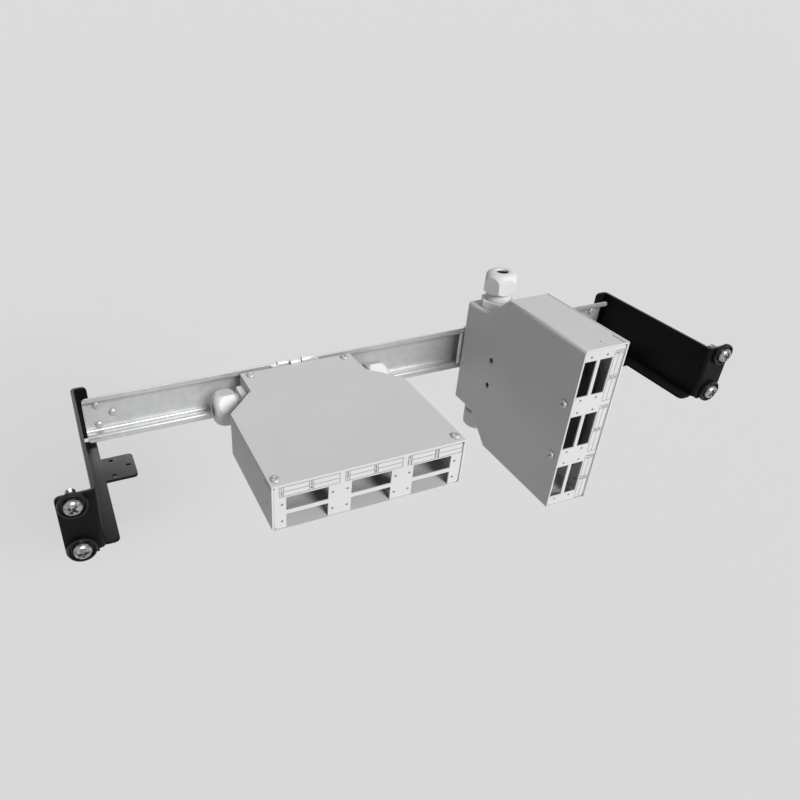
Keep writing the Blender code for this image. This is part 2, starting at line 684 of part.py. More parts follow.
def wall_holes():
    """What is cut out of the body's base and walls."""
    through = 3 * BOX_SHEET
    tools = []
    for place in cover_screw_places():
        tools.append(rod("lug_hole", M3_RADIUS + BORE_GAP, through, Matrix.Translation((*place, WALL_TOP))))
    slit_top = WALL_TOP - BOX_SHEET - 2 * SEAM
    for side in (-1, 1):
        tools.append(rod("gland_hole", GLAND_THREAD_RADIUS + BORE_GAP, through, gland_matrix(side), 16))
        u = 0 if side < 0 else BOX_WIDTH
        for far, radius in ((SIDE_HOLE_FRONT, SIDE_HOLE_RADIUS), (SIDE_HOLE_FRONT / 2, SIDE_HOLE_RADIUS / 2)):
            place = Matrix.Translation((u, far + FRONT_INSET, BOX_THICKNESS / 2)) @ STAND_YZ
            tools.append(rod("side_hole", radius, through, place, 6))
        tools.append(block("lug_slit", (u - through / 2, LUG_SLIT, slit_top - LUG_SLIT),
                           (u + through / 2, LUG_LENGTH, slit_top)))
    for u, w in clip_screw_places():
        place = Matrix.Translation((u, BOX_LENGTH, w)) @ STAND_XZ
        tools.append(rod("clip_hole", M3_RADIUS + BORE_GAP, through, place))
    for u in front_flange_places():
        tools.append(rod("flange_hole", M3_RADIUS + BORE_GAP, through,
                         Matrix.Translation((u, FLANGE_SCREW_FRONT, 0))))
    for place in standoff_places():
        tools.append(rod("stud_mark", STUD_MARK_RADIUS, through, Matrix.Translation((*place, 0)), 6))
    for sign in (-1, 1):
        place = Matrix.Translation((BOX_WIDTH / 2 + sign * CLIP_SCREW_PITCH / 2, BOX_LENGTH - DIMPLE_BACK, 0))
        dimple = turned("dimple", [(0, through), (DIMPLE_HOLE_RADIUS, through), (DIMPLE_HOLE_RADIUS, DIMPLE_DEPTH),
                                   (DIMPLE_RADIUS, 0), (DIMPLE_RADIUS, -through), (0, -through)], steps=12)
        tools.append(moved(dimple, place))
    return tools


def make_standoffs():
    """Hexagon stand-offs pressed into the base, which carry the tray."""
    height = TRAY_LEVEL - BOX_SHEET - GAP + SEAM
    return [moved(hex_nut("standoff", STANDOFF_FLATS, height, M3_RADIUS + BORE_GAP),
                  Matrix.Translation((*place, BOX_SHEET - SEAM))) for place in standoff_places()]


def make_clip_nuts(across):
    """Nuts pressed into the back wall for the clip; across is their direction in u and w."""
    half = CLIP_SCREW_PITCH / 2
    return [moved(hex_nut("clip_nut", NUT_FLATS, NUT_HEIGHT, M3_RADIUS + BORE_GAP),
                  Matrix.Translation((BOX_WIDTH / 2 + sign * half * across[0], BOX_LENGTH - BOX_SHEET + SEAM,
                                      BOX_THICKNESS / 2 + sign * half * across[1])) @ FACE_FRONT)
            for sign in (-1, 1)]


def make_body(across):
    tabs = [slant_piece("tab", tab, COVER_TAB_LENGTH, -SEAM, BOX_SHEET + SEAM, COVER_LEVEL - 2 * BOX_SHEET,
                        BOX_THICKNESS) for tab in slant_tabs()]
    body = cut(unite(make_body_shell(), *make_lugs(), *tabs), *wall_holes())
    return unite(body, *make_standoffs(), *make_clip_nuts(across))


def make_cover():
    cover = plate("cover", box_outline(), BOX_SHEET, Matrix.Translation((0, 0, BOX_THICKNESS - BOX_SHEET / 2)))
    level = Matrix.Translation((0, 0, BOX_THICKNESS))
    holes = rods("cover_hole", cover_screw_places(), M3_RADIUS + BORE_GAP, BOX_SHEET, level)
    notches = [slant_piece("notch", tab, COVER_TAB_LENGTH + 2 * GAP, BOX_SHEET, BOX_SHEET + SEAM + GAP,
                           COVER_LEVEL - BOX_SHEET, BOX_THICKNESS + BOX_SHEET) for tab in slant_tabs()]
    return cut(cover, *holes, *notches)


def cutout_places():
    """Middle and height of each adapter cut-out, in u and w."""
    return [(BOX_WIDTH / 2 + (c - (COLUMNS - 1) / 2) * COLUMN_PITCH,
             BOX_THICKNESS - CUTOUT_TOP - CUTOUT_HEIGHT / 2 - r * ROW_PITCH)
            for r in range(ROWS) for c in range(COLUMNS)]


def make_front_plate():
    """Drawn in u and w, then stood up; its flanges reach back into the box."""
    left, right = BOX_SHEET + GAP, BOX_WIDTH - BOX_SHEET - GAP
    bottom, top = BOX_SHEET + GAP, COVER_LEVEL - GAP
    middle = BOX_THICKNESS / 2
    plane = Matrix.Translation((0, FRONT_INSET + FRONT_SHEET / 2, 0)) @ STAND_XZ
    sheet = plate("sheet", rectangle(left, bottom, right, top, FRONT_CORNER), FRONT_SHEET, plane)
    root = FRONT_INSET + 0.5 * FRONT_SHEET
    back = FRONT_INSET + FRONT_FLANGE
    half = FRONT_FLANGE_WIDTH / 2
    flanges = [block("flange", (u - half, root, bottom + SEAM), (u + half, back, bottom + SEAM + FRONT_SHEET))
               for u in front_flange_places()]
    half = FRONT_SIDE_FLANGE / 2
    for u in (left + SEAM, right - SEAM - FRONT_SHEET):
        flanges.append(block("side_flange", (u, root, middle - half), (u + FRONT_SHEET, back, middle + half)))
    sheet = unite(sheet, *flanges)
    tools = []
    for u, w in cutout_places():
        low = w - CUTOUT_HEIGHT / 2
        if low < bottom + THIN_STRIP:
            low = 0  # the lowest row is open towards the base
        tools.append(block("cutout", (u - CUTOUT_WIDTH / 2, -BOX_SHEET, low),
                           (u + CUTOUT_WIDTH / 2, back - FRONT_SHEET, w + CUTOUT_HEIGHT / 2)))
    adapter_holes = [(u + sign * ADAPTER_HOLE_PITCH / 2, w) for u, w in cutout_places() for sign in (-1, 1)]
    tools += rods("adapter_hole", adapter_holes, ADAPTER_HOLE_RADIUS, FRONT_SHEET, plane, 6)
    tools += rods("flange_hole", [(u, FLANGE_SCREW_FRONT) for u in front_flange_places()],
                  M3_RADIUS + BORE_GAP, FRONT_SHEET, Matrix.Translation((0, 0, bottom)))
    for u in (left, right):
        place = Matrix.Translation((u, SIDE_HOLE_FRONT + FRONT_INSET, middle)) @ STAND_YZ
        tools.append(rod("side_hole", SIDE_HOLE_RADIUS, 4 * FRONT_SHEET, place, 6))
    return cut(sheet, *tools)


def make_tray():
    """A shallow tray for spare fibre, with a rim at the sides and the back, tie slots and its two screws."""
    x0, x1 = (BOX_WIDTH - TRAY_WIDTH) / 2, (BOX_WIDTH + TRAY_WIDTH) / 2
    y0, y1 = TRAY_FRONT, TRAY_FRONT + TRAY_LENGTH
    height = TRAY_SHEET + TRAY_RIM
    tray = plate("tray", rectangle(x0, y0, x1, y1, TRAY_CORNER), height,
                 Matrix.Translation((0, 0, TRAY_LEVEL + height / 2)))
    over = TRAY_SHEET
    mouth = y0 + TRAY_CORNER + over
    back = y1 - TRAY_SHEET
    inner = [(x0 - over, y0 - over), (x1 + over, y0 - over), (x1 + over, mouth), (x1 - TRAY_SHEET, mouth)]
    r = TRAY_CORNER - TRAY_SHEET
    inner += arc((x1 - TRAY_SHEET - r, back - r), r, 0, 90) + arc((x0 + TRAY_SHEET + r, back - r), r, 90, 180)
    inner += [(x0 + TRAY_SHEET, mouth), (x0 - over, mouth)]
    room = plate("room", inner, 2 * height, Matrix.Translation((0, 0, TRAY_LEVEL + TRAY_SHEET + height)))
    tray = cut(tray, room)
    slot_inset = TRAY_CORNER + TRAY_SLOT_WIDTH
    level = Matrix.Translation((0, 0, TRAY_LEVEL + TRAY_SHEET / 2))
    tools = [plate("tie_slot", slot((u, y0 + slot_inset), TRAY_SLOT_LENGTH, TRAY_SLOT_WIDTH, 3), 3 * TRAY_SHEET, level)
             for u in (x0 + slot_inset, BOX_WIDTH / 2, x1 - slot_inset)]
    screws = [moved(m3_screw("tray_screw", TRAY_SHEET + GAP + 4 * M3_RADIUS),
                    Matrix.Translation((*place, TRAY_LEVEL + TRAY_SHEET - SEAM))) for place in standoff_places()]
    return unite(cut(tray, *tools), *screws)


# Rail clip, in world axes round the rail's middle

def clip_window():
    """Room for the spring, shared by the clip and its slider: half width, low and high."""
    return SPRING_RADIUS + 2 * GAP, -SPRING_LENGTH / 2 - GAP, SPRING_LENGTH / 2 + GAP


def clip_notch():
    """Level down to which the clip is cut away between its hooks, for the slider's press tab."""
    return RAIL_HEIGHT / 2 - SLIDER_TRAVEL


def make_clip_plate():
    """A channel and the two screws that hold it to the box; its hooks hang on the rail's upper lip."""
    half = CLIP_WIDTH / 2
    edge = RAIL_HEIGHT / 2 + GAP
    low = -RAIL_HEIGHT / 2 + 4 * CLIP_SHEET
    middle = CLIP_BACK - CLIP_SHEET / 2
    behind = LIP_FRONT + RAIL_SHEET + GAP + CLIP_SHEET / 2
    over = edge + CLIP_SHEET / 2
    path = [(middle, low), (middle, over), (behind, over), (behind, edge - HOOK_DROP)]
    clip = plate("clip", bent_strip(path, CLIP_SHEET, CLIP_BEND, 2), CLIP_WIDTH, STAND_YZ)
    flanges = [block("flange", (x, BOX_BACK + GAP, low + CLIP_SHEET), (x + CLIP_SHEET, middle, edge - 3 * CLIP_SHEET))
               for x in (SEAM - half, half - CLIP_SHEET - SEAM)]
    clip = unite(clip, *flanges)
    room, z0, z1 = clip_window()
    near, far, high = CLIP_FRONT - CLIP_SHEET, behind + CLIP_SHEET, edge + 2 * CLIP_SHEET
    inside, outside = HOOK_CENTRE - HOOK_WIDTH / 2, HOOK_CENTRE + HOOK_WIDTH / 2
    tools = [block("beside", (x0, near, z), (x1, far, high)) for x0, x1, z in
             ((-CLIP_WIDTH, -outside, edge - CLIP_SHEET), (-inside, inside, clip_notch()),
              (outside, CLIP_WIDTH, edge - CLIP_SHEET))]
    tools.append(block("window", (-room, near, z0), (room, CLIP_BACK + CLIP_SHEET, z1)))
    clip = cut(clip, *tools)
    grip = CLIP_BACK - SEAM - (BOX_BACK - BOX_SHEET)
    screws = [moved(m3_screw("clip_screw", grip + NUT_HEIGHT + M3_RADIUS),
                    Matrix.Translation((sign * CLIP_SCREW_PITCH / 2, CLIP_BACK - SEAM, 0)) @ FACE_REAR)
              for sign in (-1, 1)]
    return unite(clip, *screws)


def make_clip_slider():
    """The sprung piece: its hook holds the rail's lower lip, its tab on top is pressed down to let go."""
    edge = RAIL_HEIGHT / 2 + GAP
    middle = SLIDER_BACK - CLIP_SHEET / 2
    behind = LIP_FRONT + RAIL_SHEET + GAP + CLIP_SHEET / 2
    under = edge + CLIP_SHEET / 2
    path = [(behind, HOOK_CATCH - edge), (behind, -under), (middle, -under), (middle, under), (CLIP_BACK, under)]
    slider = plate("slider", bent_strip(path, CLIP_SHEET, CLIP_BEND, 2), SLIDER_WIDTH, STAND_YZ)
    room, z0, z1 = clip_window()
    near, far = SLIDER_FRONT - CLIP_SHEET, behind + 2 * CLIP_SHEET
    half, tab = SLIDER_WIDTH, PRESS_TAB_WIDTH / 2
    tools = [block("beside", (x0, near, clip_notch() - GAP), (x1, far, edge + 2 * CLIP_SHEET))
             for x0, x1 in ((-half, -tab), (tab, half))]
    tools.append(block("window", (-room, near, z0), (room, SLIDER_BACK + CLIP_SHEET, z1)))
    return cut(slider, *tools)


def make_spring():
    """A compression spring in the two windows, with its ends a gap away from them."""
    curve = bpy.data.curves.new("spring", "CURVE")
    curve.dimensions = "3D"
    curve.bevel_depth = SPRING_WIRE
    curve.bevel_resolution = 1
    curve.use_fill_caps = True
    spline = curve.splines.new("POLY")
    per_turn = 8
    count = SPRING_TURNS * per_turn + 1
    spline.points.add(count - 1)
    axis = BOX_BACK + GAP + SPRING_RADIUS
    mean = SPRING_RADIUS - SPRING_WIRE
    length = SPRING_LENGTH - 2 * SPRING_WIRE
    for k, point in enumerate(spline.points):
        a = 2 * math.pi * k / per_turn
        rise = k / (count - 1)
        point.co = (mean * math.cos(a), axis + mean * math.sin(a), (rise - 0.5) * length, 1)
    return add_object("spring", solid_mesh(add_object("spring", curve, WORKSHOP)), WORKSHOP)


def make_clip(prefix, looks, x):
    place = Matrix.Translation((x, 0, 0))
    finish(moved(make_clip_plate(), place), prefix + "clip_plate", looks["zinc"])
    slider = finish(make_clip_slider(), prefix + "clip_slider", looks["zinc"])
    slider.location.x = x
    finish(moved(make_spring(), place), prefix + "clip_spring", looks["spring_steel"])


# Cable glands

def hex_limit(name, flats, low, high):
    return plate(name, hexagon(flats), high - low, Matrix.Translation((0, 0, (low + high) / 2)))


def make_gland_body():
    """Thread through the wall, hexagon collar against it, and the neck that the nut screws onto."""
    corner = GLAND_FLATS / math.sqrt(3)
    collar = GAP + GLAND_COLLAR
    profile = [(GLAND_NECK_RADIUS, collar + GLAND_NECK), (GLAND_NECK_RADIUS, collar), (corner, collar),
               (corner, GAP), (GLAND_THREAD_RADIUS, GAP), (GLAND_THREAD_RADIUS, -GLAND_INSIDE),
               (GLAND_BORE, -GLAND_INSIDE), (GLAND_BORE, collar + GLAND_NECK)]
    body = turned("gland_body", profile, closed=True, steps=14)
    return combine(body, "INTERSECT", hex_limit("collar", GLAND_FLATS, -2 * GLAND_INSIDE, 2 * DOME_HEIGHT))


def dome_levels(rise):
    """A nut's lower and upper end and the start of the cone inside it."""
    low = GAP + GLAND_COLLAR + DOME_START + rise
    return low, low + DOME_HEIGHT, low + DOME_HEIGHT - DOME_WALL - DOME_CONE


def make_dome_nut(rise):
    """A hexagon that turns into a dome, with a bore for the cable at its top."""
    corner = GLAND_FLATS / math.sqrt(3)
    low, top, cone = dome_levels(rise)
    start = low + DOME_HEX + DOME_SHOULDER
    land = DOME_BORE + DOME_LAND
    reach = GLAND_FLATS / 2 - land
    dome = []
    for k in range(3):
        a = math.radians(90 * k / 3)
        dome.append((land + reach * math.cos(a), start + (top - start) * math.sin(a)))
    inside = GLAND_NECK_RADIUS + BORE_GAP
    profile = [(land, top), *dome[::-1], (corner, low + DOME_HEX), (corner, low), (inside, low), (inside, cone),
               (DOME_BORE + DOME_WALL, top - DOME_WALL), (DOME_BORE, top - DOME_WALL), (DOME_BORE, top)]
    nut = turned("dome_nut", profile, closed=True, steps=16)
    return combine(nut, "INTERSECT", hex_limit("flats", GLAND_FLATS, 0, 2 * top))


def make_seal(rise):
    """The rubber ring on the neck's end, squeezed by the cone inside the nut."""
    low = GAP + GLAND_COLLAR + GLAND_NECK + GAP
    _, top, cone = dome_levels(rise)
    outer = GLAND_NECK_RADIUS - 2 * GAP
    profile = [(DOME_BORE + DOME_WALL - 2 * GAP, top - DOME_WALL - GAP), (outer, cone + GAP), (outer, low),
               (SEAL_BORE, low), (SEAL_BORE, top - DOME_WALL - GAP)]
    return turned("seal", profile, closed=True, steps=12)


def make_gland(prefix, looks, box_frame, side, name, rise):
    frame = empty(prefix + name + "_gland_frame", gland_matrix(side), box_frame)
    finish(make_gland_body(), prefix + name + "_gland_body", looks["polyamide"], frame)
    finish(make_dome_nut(rise), prefix + name + "_gland_nut", looks["polyamide"], frame, 25.0)
    finish(make_seal(rise), prefix + name + "_gland_seal", looks["rubber"], frame)
    locknut = hex_nut("locknut", GLAND_FLATS, LOCKNUT_HEIGHT, GLAND_THREAD_RADIUS + BORE_GAP, 16)
    below = Matrix.Translation((0, 0, -BOX_SHEET - GAP - LOCKNUT_HEIGHT))
    finish(moved(locknut, below), prefix + name + "_gland_locknut", looks["polyamide"], frame)


def make_box(prefix, looks, frame_matrix, x, across, left_rise):
    frame = empty(prefix + "frame", frame_matrix)
    finish(make_body(across), prefix + "body", looks["grey_steel"], frame, 40.0)
    finish(make_cover(), prefix + "cover", looks["grey_steel"], frame)
    finish(make_front_plate(), prefix + "front_plate", looks["grey_steel"], frame)
    finish(make_tray(), prefix + "splice_tray", looks["tray_steel"], frame)
    seats = [Matrix.Translation((*place, BOX_THICKNESS + GAP)) for place in cover_screw_places()]
    screw = m3_screw("cover_screw", BOX_SHEET + GAP + 3 * BOX_SHEET)
    finish_each(screw, prefix + "cover_screw", looks["zinc"], seats, frame)
    seats = [Matrix.Translation((u, FLANGE_SCREW_FRONT, -GAP)) @ FACE_DOWN
             for u in front_flange_places()]
    screw = m3_screw("front_screw", BOX_SHEET + GAP + FRONT_SHEET + M3_RADIUS)
    finish_each(screw, prefix + "front_plate_screw", looks["zinc"], seats, frame)
    make_gland(prefix, looks, frame, -1, "left", left_rise)
    make_gland(prefix, looks, frame, 1, "right", 0)
    make_clip(prefix, looks, x)


def build():
    looks = {
        "black_steel": material("black_steel", (0.012, 0.012, 0.013), 0.45),
        "black_plastic": material("black_plastic", (0.01, 0.01, 0.01), 0.4),
        "galvanised": material("galvanised", (0.62, 0.63, 0.64), 0.35, 1.0),
        "zinc": material("zinc", (0.72, 0.72, 0.72), 0.28, 1.0),
        "spring_steel": material("spring_steel", (0.45, 0.45, 0.46), 0.3, 1.0),
        "grey_steel": material("grey_steel", (0.56, 0.56, 0.56), 0.5),
        "tray_steel": material("tray_steel", (0.2, 0.2, 0.2), 0.5),
        "polyamide": material("polyamide", (0.75, 0.75, 0.75), 0.4),
        "rubber": material("rubber", (0.02, 0.02, 0.02), 0.7),
    }
    make_panel(looks)
    flat = Matrix.Translation((FLAT_BOX_X - BOX_WIDTH / 2, BOX_FRONT, -BOX_THICKNESS / 2))
    make_box("flat_box_", looks, flat, FLAT_BOX_X, (1, 0), 0)
    upright = (Matrix.Translation((UPRIGHT_BOX_X - BOX_THICKNESS / 2, BOX_FRONT, BOX_WIDTH / 2))
               @ Matrix.Rotation(math.radians(90), 4, "Y"))
    make_box("upright_box_", looks, upright, UPRIGHT_BOX_X, (0, 1), SLACK_NUT)


clear_scene()
MODEL = new_collection("din_rail_rack_panel")
CUTTERS = new_collection("cutters")
WORKSHOP = new_collection("workshop")
build()
bpy.data.collections.remove(WORKSHOP)
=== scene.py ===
# Looks of a 19-inch rack panel: side brackets, top-hat rail and two clip-on fibre boxes with cable glands
import json
import math

import bmesh
import bpy
from mathutils import Matrix, Vector

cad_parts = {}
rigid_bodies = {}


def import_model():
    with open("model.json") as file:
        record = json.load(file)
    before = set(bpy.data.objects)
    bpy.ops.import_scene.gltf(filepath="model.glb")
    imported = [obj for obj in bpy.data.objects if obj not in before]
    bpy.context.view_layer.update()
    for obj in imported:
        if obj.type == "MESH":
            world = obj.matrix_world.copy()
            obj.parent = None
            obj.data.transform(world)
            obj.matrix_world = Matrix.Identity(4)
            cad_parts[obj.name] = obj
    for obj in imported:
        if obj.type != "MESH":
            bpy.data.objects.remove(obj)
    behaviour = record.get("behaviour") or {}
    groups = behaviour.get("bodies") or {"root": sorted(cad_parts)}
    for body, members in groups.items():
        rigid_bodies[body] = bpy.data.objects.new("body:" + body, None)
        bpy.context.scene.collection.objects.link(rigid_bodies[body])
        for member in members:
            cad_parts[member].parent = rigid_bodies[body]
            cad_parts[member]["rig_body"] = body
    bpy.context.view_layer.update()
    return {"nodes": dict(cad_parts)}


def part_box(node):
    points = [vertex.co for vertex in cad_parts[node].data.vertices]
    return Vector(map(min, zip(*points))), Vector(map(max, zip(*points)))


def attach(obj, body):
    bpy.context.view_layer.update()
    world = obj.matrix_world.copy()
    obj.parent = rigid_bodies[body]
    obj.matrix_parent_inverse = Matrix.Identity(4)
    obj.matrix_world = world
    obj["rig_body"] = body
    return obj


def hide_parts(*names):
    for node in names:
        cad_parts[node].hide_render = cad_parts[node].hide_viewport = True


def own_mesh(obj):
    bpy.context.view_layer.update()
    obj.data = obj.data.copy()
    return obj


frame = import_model()
mm = 0.001

# Camera and light

camera = {"place": (-0.22392, -0.30671, 0.26211), "yaw": 0.3812, "pitch": 0.5748, "roll": -0.0086,
          "lens": 31.22, "shiftX": 0.1231, "shiftY": 0.0039}
# floorColour is what the camera sees, bounce what the floor throws back on the object
studio = {"floorLevel": -0.9, "floorSize": 60.0, "floorColour": (0.81, 0.81, 0.81),
          "bounce": (0.46, 0.46, 0.46), "backdrop": 0.70, "skyLight": 0.20,
          "key": 3.4, "keyFrom": (0.14, -0.81, 0.54), "keySoftness": 22.0,
          "fill": 0.25, "fillFrom": (0.15, 0.65, 0.75), "fillSoftness": 40.0}


def setCamera():
    data = bpy.data.cameras.new("camera")
    data.lens = camera["lens"]
    data.sensor_width = 36.0
    data.shift_x = camera["shiftX"]
    data.shift_y = camera["shiftY"]
    data.clip_start = 0.01
    data.clip_end = 200.0
    yaw, pitch, roll = camera["yaw"], camera["pitch"], camera["roll"]
    forward = Vector((math.sin(yaw) * math.cos(pitch), math.cos(yaw) * math.cos(pitch), -math.sin(pitch)))
    right = Vector((math.cos(yaw), -math.sin(yaw), 0.0))
    down = forward.cross(right)
    turnedRight = math.cos(roll) * right + math.sin(roll) * down
    turnedDown = math.cos(roll) * down - math.sin(roll) * right
    view = bpy.data.objects.new("camera", data)
    view.matrix_world = Matrix.Translation(camera["place"]) @ Matrix(
        (turnedRight, -turnedDown, -forward)).transposed().to_4x4()
    bpy.context.scene.collection.objects.link(view)
    bpy.context.scene.camera = view


def addSun(name, strength, source, softness):
    data = bpy.data.lights.new(name, "SUN")
    data.energy = strength
    data.angle = math.radians(softness)
    sun = bpy.data.objects.new(name, data)
    sun.rotation_euler = Vector(source).to_track_quat("Z", "Y").to_euler()
    bpy.context.scene.collection.objects.link(sun)


def seenDirectly(nodes, links):
    # 1 for what the camera sees straight, in a mirror or through glass
    rays = nodes.new("ShaderNodeLightPath")
    seen = rays.outputs["Is Camera Ray"]
    for kind in ("Is Glossy Ray", "Is Transmission Ray"):
        either = nodes.new("ShaderNodeMath")
        either.operation = "MAXIMUM"
        links.new(seen, either.inputs[0])
        links.new(rays.outputs[kind], either.inputs[1])
        seen = either.outputs[0]
    return seen


def floorSurface():
    made, nodes, links, shader = startSurface("floor")
    shade = nodes.new("ShaderNodeMix")
    shade.data_type = "RGBA"
    shade.inputs["A"].default_value = (*studio["bounce"], 1.0)
    shade.inputs["B"].default_value = (*studio["floorColour"], 1.0)
    links.new(seenDirectly(nodes, links), shade.inputs["Factor"])
    links.new(shade.outputs["Result"], shader.inputs["Base Color"])
    shader.inputs["Roughness"].default_value = 1.0
    return made


def setStudio():
    world = bpy.data.worlds.new("studio")
    world.use_nodes = True
    bpy.context.scene.world = world
    nodes, links = world.node_tree.nodes, world.node_tree.links
    level = nodes.new("ShaderNodeMapRange")
    level.inputs["To Min"].default_value = studio["skyLight"]
    level.inputs["To Max"].default_value = studio["backdrop"]
    links.new(seenDirectly(nodes, links), level.inputs["Value"])
    links.new(level.outputs["Result"], nodes["Background"].inputs["Strength"])
    nodes["Background"].inputs["Color"].default_value = (1.0, 1.0, 1.0, 1.0)
    addSun("key light", studio["key"], studio["keyFrom"], studio["keySoftness"])
    addSun("fill light", studio["fill"], studio["fillFrom"], studio["fillSoftness"])
    bm = bmesh.new()
    bmesh.ops.create_grid(bm, x_segments=1, y_segments=1, size=studio["floorSize"])
    bmesh.ops.translate(bm, verts=bm.verts, vec=(0.0, 0.0, studio["floorLevel"]))
    floor = finishedObject("floor", bm, floorSurface())


# Shared surface effects

def effectGroup(name, inputs, outputs):
    tree = bpy.data.node_groups.new(name, "ShaderNodeTree")
    for label, kind, value in inputs:
        socket = tree.interface.new_socket(label, in_out="INPUT", socket_type=kind)
        if value is not None:
            socket.default_value = value
    for label, kind in outputs:
        tree.interface.new_socket(label, in_out="OUTPUT", socket_type=kind)
    return tree, tree.nodes.new("NodeGroupInput"), tree.nodes.new("NodeGroupOutput")


def makeCoatGrain():
    tree, given, result = effectGroup(
        "coat grain",
        [("Coordinates", "NodeSocketVector", None), ("Grain Scale", "NodeSocketFloat", 1600.0),
         ("Patch Scale", "NodeSocketFloat", 22.0), ("Relief", "NodeSocketFloat", 0.3)],
        [("Grain", "NodeSocketFloat"), ("Patches", "NodeSocketFloat"), ("Normal", "NodeSocketVector")])
    links = tree.links
    fine = tree.nodes.new("ShaderNodeTexNoise")
    fine.inputs["Detail"].default_value = 3.0
    links.new(given.outputs["Coordinates"], fine.inputs["Vector"])
    links.new(given.outputs["Grain Scale"], fine.inputs["Scale"])
    broad = tree.nodes.new("ShaderNodeTexNoise")
    broad.inputs["Detail"].default_value = 4.0
    broad.inputs["Roughness"].default_value = 0.6
    links.new(given.outputs["Coordinates"], broad.inputs["Vector"])
    links.new(given.outputs["Patch Scale"], broad.inputs["Scale"])
    bump = tree.nodes.new("ShaderNodeBump")
    bump.inputs["Distance"].default_value = 0.00006
    links.new(given.outputs["Relief"], bump.inputs["Strength"])
    links.new(fine.outputs["Fac"], bump.inputs["Height"])
    links.new(fine.outputs["Fac"], result.inputs["Grain"])
    links.new(broad.outputs["Fac"], result.inputs["Patches"])
    links.new(bump.outputs["Normal"], result.inputs["Normal"])
    return tree


def makeStreaks():
    tree, given, result = effectGroup(
        "rolled streaks",
        [("Coordinates", "NodeSocketVector", None), ("Stretch", "NodeSocketVector", (600.0, 600.0, 25.0)),
         ("Crystal Scale", "NodeSocketFloat", 220.0), ("Relief", "NodeSocketFloat", 0.2)],
        [("Streaks", "NodeSocketFloat"), ("Crystals", "NodeSocketFloat"), ("Normal", "NodeSocketVector")])
    links = tree.links
    drawn = tree.nodes.new("ShaderNodeMapping")
    links.new(given.outputs["Coordinates"], drawn.inputs["Vector"])
    links.new(given.outputs["Stretch"], drawn.inputs["Scale"])
    lines = tree.nodes.new("ShaderNodeTexNoise")
    lines.inputs["Scale"].default_value = 1.0
    lines.inputs["Detail"].default_value = 4.0
    links.new(drawn.outputs["Vector"], lines.inputs["Vector"])
    cells = tree.nodes.new("ShaderNodeTexVoronoi")
    links.new(given.outputs["Coordinates"], cells.inputs["Vector"])
    links.new(given.outputs["Crystal Scale"], cells.inputs["Scale"])
    grey = tree.nodes.new("ShaderNodeRGBToBW")
    links.new(cells.outputs["Color"], grey.inputs["Color"])
    bump = tree.nodes.new("ShaderNodeBump")
    bump.inputs["Distance"].default_value = 0.00005
    links.new(given.outputs["Relief"], bump.inputs["Strength"])
    links.new(lines.outputs["Fac"], bump.inputs["Height"])
    links.new(lines.outputs["Fac"], result.inputs["Streaks"])
    links.new(grey.outputs["Val"], result.inputs["Crystals"])
    links.new(bump.outputs["Normal"], result.inputs["Normal"])
    return tree


coatGrain = makeCoatGrain()
streaks = makeStreaks()


# Surfaces

def startSurface(name):
    made = bpy.data.materials.new(name)
    made.use_nodes = True
    tree = made.node_tree
    return made, tree.nodes, tree.links, tree.nodes["Principled BSDF"]


def rangeTo(nodes, links, source, low, high, start=0.3, end=0.7):
    spread = nodes.new("ShaderNodeMapRange")
    spread.inputs["From Min"].default_value = start
    spread.inputs["From Max"].default_value = end
    spread.inputs["To Min"].default_value = low
    spread.inputs["To Max"].default_value = high
    links.new(source, spread.inputs["Value"])
    return spread.outputs["Result"]


def tinted(nodes, links, source, dark, light, start=0.3, end=0.7):
    blend = nodes.new("ShaderNodeMix")
    blend.data_type = "RGBA"
    blend.inputs["A"].default_value = (*dark, 1.0)
    blend.inputs["B"].default_value = (*light, 1.0)
    links.new(rangeTo(nodes, links, source, 0.0, 1.0, start, end), blend.inputs["Factor"])
    return blend.outputs["Result"]


# Painted sheen on a coat: its specular level rises on faces that look up and turn from the eye, standing in
# for the light that falls on up-facing faces; the ranges say how far a face turns from the eye, and how far
# it looks up
paintedSheenSlant = (0.30, 0.48)
paintedSheenUpward = (0.3, 0.9)


def coatedSurface(name, look):
    made, nodes, links, shader = startSurface(name)
    place = nodes.new("ShaderNodeTexCoord")
    grain = nodes.new("ShaderNodeGroup")
    grain.node_tree = coatGrain
    grain.inputs["Grain Scale"].default_value = look["grain"]
    grain.inputs["Patch Scale"].default_value = look["patches"]
    grain.inputs["Relief"].default_value = look["relief"]
    links.new(place.outputs["Object"], grain.inputs["Coordinates"])
    links.new(tinted(nodes, links, grain.outputs["Patches"], look["dark"], look["light"]),
              shader.inputs["Base Color"])
    links.new(rangeTo(nodes, links, grain.outputs["Grain"], look["smooth"], look["rough"]),
              shader.inputs["Roughness"])
    links.new(grain.outputs["Normal"], shader.inputs["Normal"])
    shader.inputs["Specular IOR Level"].default_value = look["gloss"]
    # painted sheen: up-facing faces seen at a slant get a raised specular level, which stands in for light
    # falling on them
    if "paintedSheenLevel" in look:
        slant = nodes.new("ShaderNodeLayerWeight")
        slant.inputs["Blend"].default_value = 0.5
        upward = nodes.new("ShaderNodeSeparateXYZ")
        links.new(place.outputs["Normal"], upward.inputs["Vector"])
        share = nodes.new("ShaderNodeMath")
        share.operation = "MULTIPLY"
        links.new(rangeTo(nodes, links, slant.outputs["Facing"], 0.0, 1.0, *paintedSheenSlant), share.inputs[0])
        links.new(rangeTo(nodes, links, upward.outputs["Z"], 0.0, 1.0, *paintedSheenUpward), share.inputs[1])
        links.new(rangeTo(nodes, links, share.outputs[0], look["gloss"], look["paintedSheenLevel"], 0.0, 1.0),
                  shader.inputs["Specular IOR Level"])
    return made


